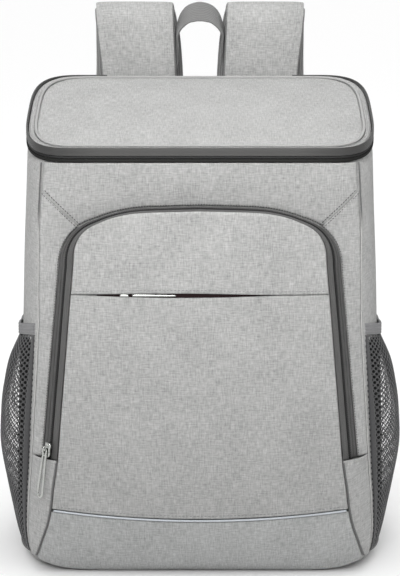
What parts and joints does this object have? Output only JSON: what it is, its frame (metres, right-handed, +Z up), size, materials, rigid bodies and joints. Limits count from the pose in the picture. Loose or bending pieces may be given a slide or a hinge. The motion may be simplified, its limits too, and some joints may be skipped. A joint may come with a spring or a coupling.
{
  "type": "cooler backpack",
  "caption": "Insulated cooler backpack with a zipped sloping lid, a swelling zipped front pocket, mesh side pockets, padded shoulder straps and a haul handle.",
  "frame": {"origin": "under the middle of the whole bag, on the surface that it stands on", "axes": "+Z up, the front pocket faces -Y, the padded back and the straps are at +Y, +X is to the right when the front is looked at"},
  "size_m": [0.3634, 0.2988, 0.481],
  "materials": {
    "heather_fabric": "light grey melange plain weave",
    "zip_tape": "dark grey ribbed zip tape",
    "zip_coil": "black nylon coil",
    "side_mesh": "dark grey open diamond mesh",
    "elastic": "mid grey ribbed elastic",
    "webbing": "grey woven webbing",
    "seam_piping": "dark grey piped seam",
    "reflective_cord": "silver reflective piping",
    "bright_metal": "polished zip hardware",
    "buckle_plastic": "moulded black buckle",
    "pad_mesh": "dark grey padded spacer mesh"
  },
  "bodies": {
    "root": {"insulated_tub": "heather_fabric", "lid_pad": "heather_fabric", "lid_welt": "seam_piping", "lid_zip_tape_upper": "zip_tape", "lid_zip_coil": "zip_coil", "lid_zip_tape_lower": "zip_tape", "lid_hinge": "heather_fabric", "lid_slider_left": "bright_metal", "lid_slider_right": "bright_metal", "front_top_panel": "heather_fabric", "gusset_strip_left": "heather_fabric", "gusset_strip_right": "heather_fabric", "pocket_zip_tape_outer": "zip_tape", "pocket_zip_coil": "zip_coil", "pocket_zip_tape_inner": "zip_tape", "lower_gusset_left": "heather_fabric", "lower_gusset_right": "heather_fabric", "panel_piping_left": "seam_piping", "panel_piping_right": "seam_piping", "corner_piping_left": "seam_piping", "corner_piping_right": "seam_piping", "pocket_panel_upper": "heather_fabric", "pocket_panel_lower": "heather_fabric", "pocket_panel_base": "heather_fabric", "reflective_cord": "reflective_cord", "slit_zip_tape": "zip_tape", "slit_slider": "bright_metal", "slit_pull": "bright_metal", "pocket_slider": "bright_metal", "mesh_pocket_left": "side_mesh", "mesh_pocket_right": "side_mesh", "elastic_band_left": "elastic", "elastic_band_right": "elastic", "back_pad": "pad_mesh", "strap_face_left": "heather_fabric", "strap_face_right": "heather_fabric", "strap_lining_left": "pad_mesh", "strap_lining_right": "pad_mesh", "strap_tab_left": "webbing", "strap_tab_right": "webbing", "strap_buckle_left": "buckle_plastic", "strap_buckle_right": "buckle_plastic", "strap_webbing_left": "webbing", "strap_webbing_right": "webbing", "strap_anchor_left": "webbing", "strap_anchor_right": "webbing", "haul_handle": "webbing"},
    "pull": {"pocket_pull": "bright_metal"}
  },
  "joints": [
    {"name": "pull_swing", "type": "hinge", "parent": "root", "child": "pull", "pos_m": [-0.1338, -0.1352, 0.11763], "axis": [-0.5063, 0.854, 0.1193], "range_deg": [0, 150]}
  ]
}
